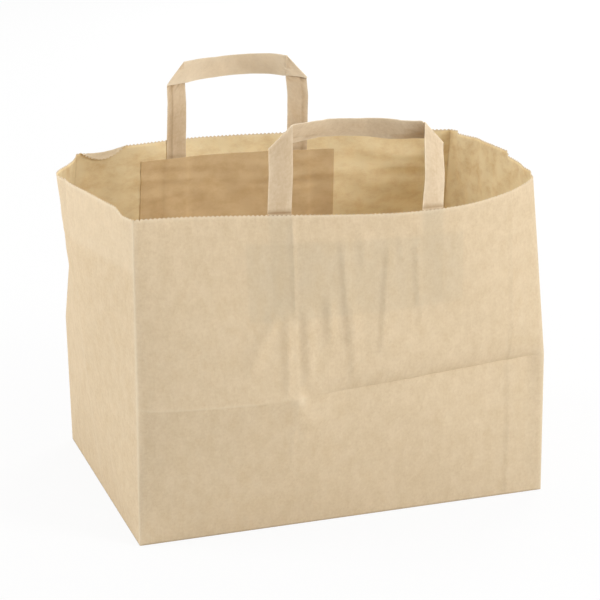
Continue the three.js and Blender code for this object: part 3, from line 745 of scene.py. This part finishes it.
def paper_handle(name, handle):
    """One strip that rises as a leg, folds over at 45 degrees to the grip on the inner side, and
    folds again to the other leg. Sections run across the strip, from its inner to its outer edge."""
    (left_outer, left_inner), (right_inner, right_outer) = leg_spans(handle)
    legs = [(left_outer, left_inner), (right_outer, right_inner)]
    rim = handle["rim"]
    top = rim + handle["rise"]
    foot = patch_heights(handle)[0] + HANDLE_TAIL
    leg_out = -(PAPER / 2 + GLUE_GAP + HANDLE_PLY / 2)
    radius = (HANDLE_PLY + GLUE_GAP) / 2
    ply = np.where(ACROSS < PLY_SHARE, PLY_STEP, 0)[:, None, None]

    def ahead_at(place):
        """Level direction along the panel at the rim."""
        level = np.full(np.shape(place), float(rim))
        return unit((smooth_sheet(place + 1, level) - smooth_sheet(place - 1, level)) * np.array([1, 1, 0]))

    into_bag = -np.cross(ahead_at(np.array([handle["start"] + handle["middle"]])), UP)[0]

    def free(place, height):
        """Strip above the rim: upright, but each leg sways and turns a little."""
        point = on_sheet(place, np.full(place.shape, float(rim)), leg_out)
        above = height - rim
        raised = np.clip(above / handle["rise"], 0, 1)
        to_right = np.clip((place - left_inner) / (right_inner - left_inner), 0, 1)
        sways = [np.interp(above, *zip(*sway)) for sway in handle["sways"]]
        sway = sways[0] + (sways[1] - sways[0]) * to_right
        turn = np.zeros(place.shape)
        for (outer, inner), twist, near in zip(legs, handle["twists"], (1 - to_right, to_right)):
            to_inner = np.clip((place - outer) / (inner - outer), 0, 1)
            turn += (twist[0] * (1 - to_inner) + twist[1] * to_inner) * near * raised
        grip_foot = handle["rise"] - HANDLE_STRIP
        to_far_end = np.clip((place - left_outer) / (right_outer - left_outer), 0, 1)
        bulge = np.interp(above, (grip_foot - BULGE_RUN, grip_foot, handle["rise"]), (0, 1, 0))
        turn += handle["bulge"] * bulge * arch(to_far_end, 0.5)
        point += ahead_at(place) * sway[:, None] + into_bag * turn[:, None]
        lift = handle["lift"] * np.clip(above / grip_foot, 0, 1) * arch(1 - to_far_end, LIFT_PEAK)
        point[:, 2] += above + lift
        return point

    def grip(share, offset=0.0):
        """Section of the grip. A grip bowed into the bag leaves the legs at the folds, one bowed away
        lies on the legs as far as their inner edges."""
        starts, ends = (across_leg(leg, ACROSS) for leg in legs)
        place = starts + (ends - starts) * share + offset
        fold_end = ends
        if handle["bow"] < 0:
            starts, ends = left_inner, right_inner
        bowed = grip_arch(np.clip((place - starts) / (ends - starts), 0, 1), handle)
        further = ACROSS * handle["tilt"] * bowed
        to_corner = np.clip(ACROSS - (right_inner - place) / PINCH_RUN[0], 0, 1)
        pinch = handle["pinch"] * to_corner * np.clip((fold_end - place) / PINCH_RUN[1], 0, 1)
        drop = np.sqrt((ACROSS * HANDLE_STRIP) ** 2 - further**2)
        return free(place, top - drop) + into_bag * (handle["bow"] * bowed + further + pinch)[:, None]

    def leg_sections(leg):
        place = across_leg(leg, ACROSS)
        rows = []
        for level in spread([foot, rim], GLUED_STEP):
            height = np.full(len(ACROSS), level)
            rows.append((on_sheet(place, height, leg_out), sheet_normal(place, height)))
        for share in [*RIM_SHARES, *np.linspace(0, 1, LEG_STEPS)[1:-1]]:
            height = rim + share * (top - HANDLE_STRIP * ACROSS - rim)
            line = free(place, height)
            rows.append((line, facing(line, np.cross(line[-1] - line[0], UP))))
        return rows

    def facing(line, normal):
        """The same unit normal for a whole section, on the outer side of the panel."""
        normal = unit(normal)
        normal = -normal if normal @ into_bag > 0 else normal
        return np.broadcast_to(normal, line.shape)

    def mitre(leg):
        """Half turn from the leg's layer to the grip's layer, about the fold at 45 degrees."""
        place = across_leg(leg, ACROSS)
        line = free(place, top - HANDLE_STRIP * ACROSS)
        below = free(place[-1:], np.array([top - 2 * HANDLE_STRIP]))[0]
        outward = facing(line, np.cross(line[0] - line[-1], below - line[-1]))[0]
        beyond = unit(np.cross(line[0] - line[-1], outward))
        beyond = -beyond if beyond[2] < 0 else beyond
        rows = []
        for angle in np.linspace(0, np.pi, FOLD_STEPS + 1):
            radial = outward * math.cos(angle) + beyond * math.sin(angle)
            rows.append((line + radius * (radial - outward), np.broadcast_to(radial, line.shape)))
        return rows

    def grip_sections():
        rows = []
        for share in np.linspace(0, 1, GRIP_STEPS + 1)[1:-1]:
            line = grip(share)
            along = grip(share, 1.0) - grip(share, -1.0)
            upward = np.broadcast_to(line[0] - line[-1], line.shape)
            inward = unit(np.cross(upward, along))
            inward = np.where((inward @ into_bag)[:, None] < 0, -inward, inward)
            rows.append((line + inward * 2 * radius, inward))
        return rows

    rows = [*leg_sections(legs[0]), *mitre(legs[0]), *grip_sections(),
            *mitre(legs[1])[::-1], *leg_sections(legs[1])[::-1]]
    line, normal = (np.stack(part, axis=1) for part in zip(*rows))
    steps = np.linalg.norm(np.diff(line[MEASURED_POINT], axis=0), axis=-1)
    length = np.concatenate([[0], np.cumsum(steps)])
    held, soft = STRIP_HELD
    is_free = window(length, held, length[-1] - held, soft)
    for seed, (out, size) in enumerate(DENTS, handle["seed"]):
        dents = out * wander(length, ACROSS[:, None] * HANDLE_STRIP, size, seed)
        line = line + normal * (dents * is_free)[..., None]
    uv = np.stack(np.broadcast_arrays(ACROSS[:, None] * HANDLE_STRIP, length), axis=-1)
    fold = len(leg_sections(legs[0])) + FOLD_STEPS // 2
    return slab(
        name, line + normal * HANDLE_PLY / 2, line - normal * (HANDLE_PLY / 2 - PLY_STEP + ply), uv,
        layers=(0.0, 0.0), inside=(0.0, 0.0),
        wear=strip_wear(handle, length, line[..., 2], fold),
    )


def strip_wear(handle, length, level, fold):
    """Wear, painted light and painted shade of the strip's outer and inner side, at lengths along it. level
    is how high each place lies, and fold the row at the middle of the first mitre fold."""
    (left_outer, left_inner), (right_inner, right_outer) = leg_spans(handle)
    row = np.arange(len(length))
    on_leg = np.minimum(row, row[::-1]) < fold
    first_half = row < len(row) / 2
    across = ACROSS[:, None]
    edge = np.minimum(across, 1 - across) * HANDLE_STRIP
    # Each leg's painted shade, below 0 painted paler
    worn_and_shaded = mark(edge, EDGE_WEAR_AND_HIGHLIGHT) - on_leg * np.where(first_half, *handle["leg_shade"])

    paler_from = fold - PALER_GRIP_ROWS[0]
    paler_grip = PALER_GRIP * window(row, paler_from, len(row) - 1 - paler_from, PALER_GRIP_ROWS[1])
    glued = len(spread([patch_heights(handle)[0] + HANDLE_TAIL, handle["rim"]], GLUED_STEP)) - 1
    past_rim = np.minimum(length - length[glued], length[-1 - glued] - length)
    outer = worn_and_shaded + mark(past_rim - RIM_GAP_SHADOW_SET, RIM_GAP_SHADOW) + paler_grip

    inner = worn_and_shaded + mark((across - PLY_SHARE) * HANDLE_STRIP, PLY_SHADOW) * on_leg
    grip_foot = np.where(first_half, level[-1, fold], level[-1, -1 - fold])
    inner += mark(grip_foot - level - UNDER_GRIP_SHADOW_SET, UNDER_GRIP_SHADOW) * on_leg
    inner -= LOW_LEG_SHADE * window(past_rim, *LOW_LEG_SPAN)
    past_patch = np.minimum(length, length[-1] - length) - (PATCH_HEIGHT - HANDLE_TAIL)
    inner += mark(past_patch - PATCH_EDGE_SHADOW_SET, PATCH_EDGE_SHADOW)
    share = np.clip((row - len(row) / 2) / GRIP_STEPS + 0.5, 0, 1)
    starts = across_leg((left_outer, left_inner), across)
    ends = across_leg((right_outer, right_inner), across)
    to_corner = across - (right_inner - starts - (ends - starts) * share) / PINCH_RUN[0]
    inner -= PINCH_SHADE * handle["pinch"] * np.clip(to_corner, 0, 1) * ~on_leg
    return outer, inner


def node(tree, kind, inputs=(), **settings):
    """Adds a node with its settings, and its inputs as values or links."""
    made = tree.nodes.new(kind)
    for key, value in settings.items():
        setattr(made, key, value)
    for key, value in dict(inputs).items():
        if isinstance(value, bpy.types.NodeSocket):
            tree.links.new(value, made.inputs[key])
        else:
            made.inputs[key].default_value = value
    return made


def bare_tree(owner):
    """Empty node tree of a material or of the world."""
    owner.use_nodes = True
    owner.node_tree.nodes.clear()
    return owner.node_tree


def linear(colour):
    """sRGB hex value as linear colour."""
    parts = [int(colour[i : i + 2], 16) / 255 for i in (1, 3, 5)]
    return (*[c / 12.92 if c <= 0.04045 else ((c + 0.055) / 1.055) ** 2.4 for c in parts], 1)


# Patterns of kraft paper: how far they are stretched along and up the sheet, their size in millimetres,
# detail and roughness. The fibres are coarser than real ones, which wouldn't show.
PATTERNS = {
    "cloud": ((1, 1.6), 9, 5, 0.72),
    "fleck": ((1, 1), 2.2, 2, 0.55),
    "fibre": ((1, 6), 0.9, 2, 0.5),
    "stain": ((1.6, 1), 12, 5, 0.7),
}
MOTTLE = {"cloud": 0.6, "fleck": 0.28, "fibre": 0.12}  # shares
WEAR_AND_HIGHLIGHT = (0.45, "#f6ead2")  # share of the wear and painted highlight above 0, and its colour
PAINTED_SHADE = (-0.5, "#8f6f47")  # share of the painted shade below 0, and its colour
INNER_GROUND = 1.2  # the inner side's ground takes its own colour so much faster than its stains
WARM_LIGHT = "#fff8ec"
THIN_SPOTS = 0.4  # the clouds let through so much more or less light


def kraft(name, pale, deep, backed, inner, stained, through):
    """Unbleached kraft paper, uncoated: matt, cloudy where the fibres lie thicker, with fine upright
    fibres, paler along folds and edges from wear and painted highlight, with painted shade along edges
    that lie on it and where it lies double, blotched on the inner side. Some light comes through it,
    warmed by the fibres."""
    material = bpy.data.materials.new(name)
    tree = bare_tree(material)
    sheet = node(tree, "ShaderNodeUVMap", uv_map="sheet").outputs["UV"]
    behind, worn_and_shaded, inside = (node(tree, "ShaderNodeAttribute", attribute_name=key).outputs["Fac"]
                            for key in ("layers", "wear", "inside"))

    pattern = {}
    for key, (run, size, detail, rough) in PATTERNS.items():
        place = node(tree, "ShaderNodeMapping", {"Vector": sheet, "Scale": (1 / run[0], 1 / run[1], 1)})
        pattern[key] = node(tree, "ShaderNodeTexNoise",
                            {"Vector": place.outputs["Vector"], "Scale": 1 / (size * MM),
                             "Detail": detail, "Roughness": rough}).outputs["Fac"]
    blend = 0.0
    for key, share in MOTTLE.items():
        blend = node(tree, "ShaderNodeMath", {0: pattern[key], 1: share, 2: blend},
                     operation="MULTIPLY_ADD").outputs[0]
    mottle = node(tree, "ShaderNodeMapRange",
                  {"Value": blend, "From Min": 0.38, "From Max": 0.62}).outputs["Result"]
    stain = node(tree, "ShaderNodeMapRange",
                 {"Value": pattern["stain"], "From Min": 0.44, "From Max": 0.72, "To Max": 0.65})

    # Each colour lies over the last, by its factor
    tints = [(mottle, deep), (behind, backed)]
    for factor, share, shade in ((inside, INNER_GROUND, inner), (inside, stain.outputs["Result"], stained),
                                 (worn_and_shaded, *WEAR_AND_HIGHLIGHT), (worn_and_shaded, *PAINTED_SHADE)):
        part = node(tree, "ShaderNodeMath", {0: factor, 1: share}, operation="MULTIPLY", use_clamp=True)
        tints.append((part.outputs[0], shade))
    colour = linear(pale)
    for factor, shade in tints:
        colour = node(tree, "ShaderNodeMix", {"Factor": factor, 6: colour, 7: linear(shade)},
                      data_type="RGBA").outputs[2]

    relief = node(tree, "ShaderNodeBump",
                  {"Height": pattern["fibre"], "Strength": 0.25, "Distance": 0.12 * MM})
    relief = node(tree, "ShaderNodeBump",
                  {"Height": pattern["cloud"], "Strength": 0.3, "Distance": 0.4 * MM,
                   "Normal": relief.outputs["Normal"]})
    rough = node(tree, "ShaderNodeMapRange",
                 {"Value": pattern["fleck"], "To Min": 0.78, "To Max": 0.94})
    surface = node(tree, "ShaderNodeBsdfPrincipled",
                   {"Base Color": colour, "Roughness": rough.outputs["Result"],
                    "Normal": relief.outputs["Normal"], "IOR": 1.5, "Specular IOR Level": 0.25})
    warm = node(tree, "ShaderNodeMix", {"Factor": 1.0, 6: colour, 7: linear(WARM_LIGHT)},
                data_type="RGBA", blend_type="MULTIPLY")
    glow = node(tree, "ShaderNodeBsdfTranslucent", {"Color": warm.outputs[2]})
    thin = node(tree, "ShaderNodeMapRange",
                {"Value": mottle, "To Min": through * (1 + THIN_SPOTS),
                 "To Max": through * (1 - THIN_SPOTS)})
    mixed = node(tree, "ShaderNodeMixShader",
                 {0: thin.outputs["Result"], 1: surface.outputs[0], 2: glow.outputs[0]})
    node(tree, "ShaderNodeOutputMaterial", {"Surface": mixed.outputs[0]})
    return material


def pinked_rim(rim_line, rise, outward, material):
    """Teeth of the pinked cut, set along the rim."""
    count = len(rim_line)
    mesh = bpy.data.meshes.new("rim_path")
    mesh.from_pydata((rim_line * MM).tolist(), [(i, (i + 1) % count) for i in range(count)], [])
    for key, values in (("rim_rise", rise), ("rim_out", outward)):
        data = mesh.attributes.new(key, "FLOAT_VECTOR", "POINT").data
        data.foreach_set("vector", values.ravel().astype(np.float32))
    path = placed("rim_path", mesh)

    tree = bpy.data.node_groups.new("pinked_teeth", "GeometryNodeTree")
    sizes = {"Pitch": TOOTH_PITCH * MM, "Tooth Height": TOOTH_HEIGHT * MM, "Paper": PAPER * MM}
    tree.interface.new_socket("Geometry", in_out="INPUT", socket_type="NodeSocketGeometry")
    keys = {name: tree.interface.new_socket(name, in_out="INPUT", socket_type="NodeSocketFloat").identifier
            for name in sizes}
    tree.interface.new_socket("Geometry", in_out="OUTPUT", socket_type="NodeSocketGeometry")
    given = node(tree, "NodeGroupInput").outputs
    curve = node(tree, "GeometryNodeMeshToCurve", {"Mesh": given["Geometry"]})
    stops = node(tree, "GeometryNodeResampleCurve",
                 {"Curve": curve.outputs[0], "Length": given["Pitch"]}, mode="LENGTH")
    prism = node(tree, "GeometryNodeMeshCylinder",
                 {"Vertices": 3, "Radius": 1.0, "Depth": given["Paper"]}, fill_type="NGON")
    # A three-sided prism of radius 1 is 1.5 tall, sqrt(3) wide, and its base lies 0.5 below its middle
    tall = node(tree, "ShaderNodeMath", {0: given["Tooth Height"], 1: 1.5}, operation="DIVIDE")
    wide = node(tree, "ShaderNodeMath", {0: given["Pitch"], 1: math.sqrt(3)}, operation="DIVIDE")
    half = node(tree, "ShaderNodeMath", {0: tall.outputs[0], 1: 0.5}, operation="MULTIPLY")
    size = node(tree, "ShaderNodeCombineXYZ", {"X": tall.outputs[0], "Y": wide.outputs[0], "Z": 1.0})
    lift = node(tree, "ShaderNodeCombineXYZ", {"X": half.outputs[0]})
    tooth = node(tree, "GeometryNodeTransform",
                 {"Geometry": prism.outputs["Mesh"], "Scale": size.outputs[0],
                  "Translation": lift.outputs[0]})
    up = node(tree, "GeometryNodeInputNamedAttribute", {"Name": "rim_rise"}, data_type="FLOAT_VECTOR")
    out = node(tree, "GeometryNodeInputNamedAttribute", {"Name": "rim_out"}, data_type="FLOAT_VECTOR")
    turn = node(tree, "FunctionNodeAxesToRotation",
                {0: up.outputs[0], 1: out.outputs[0]}, primary_axis="X", secondary_axis="Z")
    teeth = node(tree, "GeometryNodeInstanceOnPoints",
                 {"Points": stops.outputs[0], "Instance": tooth.outputs[0], "Rotation": turn.outputs[0]})
    real = node(tree, "GeometryNodeRealizeInstances", {"Geometry": teeth.outputs[0]})
    # The teeth are painted paler: wear of the cut edge, and partly painted highlight
    worn_and_shaded = node(tree, "GeometryNodeStoreNamedAttribute",
                {"Geometry": real.outputs[0], "Name": "wear", "Value": 1.0})
    dressed = node(tree, "GeometryNodeSetMaterial", {"Geometry": worn_and_shaded.outputs[0], "Material": material})
    node(tree, "NodeGroupOutput", {"Geometry": dressed.outputs[0]})

    modifier = path.modifiers.new("pinked_teeth", "NODES")
    modifier.node_group = tree
    for name, value in sizes.items():
        modifier[keys[name]] = value
    ready = path.evaluated_get(bpy.context.evaluated_depsgraph_get())
    made = bpy.data.meshes.new_from_object(ready)
    made.name = "pinked_rim"
    bpy.data.objects.remove(path)
    return placed("pinked_rim", made)


# The bag paper's inner colour is much paler than its outer colours: painted light on the inner side
BAG_PAPER = kraft("brown_kraft_paper", "#e7d6b8", "#d5bf9c", "#c0af91", "#fff0c6", "#d3ab6b", 0.2)
STRIP_PAPER = kraft("folded_kraft_strip", "#ddc8aa", "#cdb594", "#d8c2a1", "#d8c2a1", "#d8c2a1", 0.02)
PATCH_PAPER = kraft("kraft_patch_paper", "#dec8a2", "#cbb088", "#c9ac80", "#d9bd92", "#c4a374", 0.08)

sheet_piece, rim_line, rim_rise, rim_out = bag_sheet()
teeth_piece = pinked_rim(rim_line, rim_rise, rim_out, BAG_PAPER)
PIECES = [
    (sheet_piece, "bag_body", "kraft_bag", BAG_PAPER),
    (teeth_piece, "bag_body", "kraft_bag", BAG_PAPER),
    (block_bottom(), "bag_body", "kraft_bag", BAG_PAPER),
    (paper_handle("front_strip", HANDLES["front"]), "front_handle", "kraft_strip", STRIP_PAPER),
    (paper_handle("back_strip", HANDLES["back"]), "back_handle", "kraft_strip", STRIP_PAPER),
    (handle_patch("front_cover", HANDLES["front"]), "front_patch", "kraft_patch", PATCH_PAPER),
    (handle_patch("back_cover", HANDLES["back"]), "back_patch", "kraft_patch", PATCH_PAPER),
]
for piece, replaced, slot, material in PIECES:
    piece.data.materials.clear()
    piece.data.materials.append(material)
    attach(piece, "root")
    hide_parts(replaced)


# Camera at the photograph's angle
CAMERA_PLACE = (-488.56, -1391.49, 629.4)
CAMERA_DOWN = math.radians(18.45)
CAMERA_YAW = math.radians(19.33)
CAMERA_ROLL = math.radians(0.34)
CAMERA_LENS = 120
CAMERA_SENSOR = 36

camera_data = bpy.data.cameras.new("camera")
camera_data.lens = CAMERA_LENS
camera_data.sensor_width = CAMERA_SENSOR
camera_data.sensor_fit = "HORIZONTAL"
camera = placed("camera", camera_data)
camera.matrix_world = (
    Matrix.Translation(Vector(CAMERA_PLACE) * MM)
    @ Matrix.Rotation(-CAMERA_YAW, 4, "Z")
    @ Matrix.Rotation(math.pi / 2 - CAMERA_DOWN, 4, "X")
    @ Matrix.Rotation(CAMERA_ROLL, 4, "Z")
)
bpy.context.scene.camera = camera


LIGHT_AIM = Vector((0, 0, 0.12))  # metres


def softbox(name, place, size, power):
    """Soft light that faces the middle of the bag, at a place and of a size in metres."""
    data = bpy.data.lights.new(name, "AREA")
    data.shape = "SQUARE"
    data.size = size
    data.energy = power
    light = placed(name, data)
    light.location = place
    light.rotation_mode = "QUATERNION"
    light.rotation_quaternion = (LIGHT_AIM - light.location).to_track_quat("-Z", "Y")


softbox("left_softbox", (-2.0, 0.5, 0.9), 1.0, 24)
softbox("right_softbox", (1.7, -1.8, 1.3), 0.8, 34)
softbox("top_softbox", (0.5, -1.1, 2.3), 1.2, 8)
softbox("back_softbox", (1.4, 1.6, 0.7), 1.2, 28)


def seen_white(tree, share, lit, white):
    """Mixes in a share of white for what the camera sees, also in a reflection or through the object."""
    rays = node(tree, "ShaderNodeLightPath").outputs
    seen = rays["Is Camera Ray"]
    for kind in ("Is Glossy Ray", "Is Transmission Ray"):
        seen = node(tree, "ShaderNodeMath", {0: seen, 1: rays[kind]}, operation="MAXIMUM").outputs[0]
    factor = node(tree, "ShaderNodeMath", {0: seen, 1: share}, operation="MULTIPLY")
    return node(tree, "ShaderNodeMixShader",
                {0: factor.outputs[0], 1: lit.outputs[0], 2: white.outputs[0]}).outputs[0]


# White all round: plain light on the bag, and white behind it for the camera
WORLD_LIGHT = 0.6
world = bpy.data.worlds.new("studio")
sky_tree = bare_tree(world)
lit = node(sky_tree, "ShaderNodeBackground", {"Color": (1, 1, 1, 1), "Strength": WORLD_LIGHT})
seen = node(sky_tree, "ShaderNodeBackground", {"Color": (1, 1, 1, 1), "Strength": 1.0})
node(sky_tree, "ShaderNodeOutputWorld", {"Surface": seen_white(sky_tree, 1.0, lit, seen)})
bpy.context.scene.world = world

FLOOR_REACH = 3.0  # metres
FLOOR_DROP = 0.3
FLOOR_WHITE = 0.9  # the rest shows the bag's shadow
floor_mesh = bpy.data.meshes.new("floor")
floor_corners = [(x * FLOOR_REACH, y * FLOOR_REACH, 0) for x, y in ((-1, -1), (1, -1), (1, 1), (-1, 1))]
floor_mesh.from_pydata(floor_corners, [], [(0, 1, 2, 3)])
floor = placed("floor", floor_mesh)
floor.location.z = -FLOOR_DROP * MM
floor_paint = bpy.data.materials.new("white_floor")
floor_tree = bare_tree(floor_paint)
matt = node(floor_tree, "ShaderNodeBsdfDiffuse", {"Color": linear("#e6e6e6")})
white = node(floor_tree, "ShaderNodeEmission", {"Color": (1, 1, 1, 1), "Strength": 1.0})
floor_look = seen_white(floor_tree, FLOOR_WHITE, matt, white)
node(floor_tree, "ShaderNodeOutputMaterial", {"Surface": floor_look})
floor_mesh.materials.append(floor_paint)

bpy.context.scene.view_settings.view_transform = "Standard"
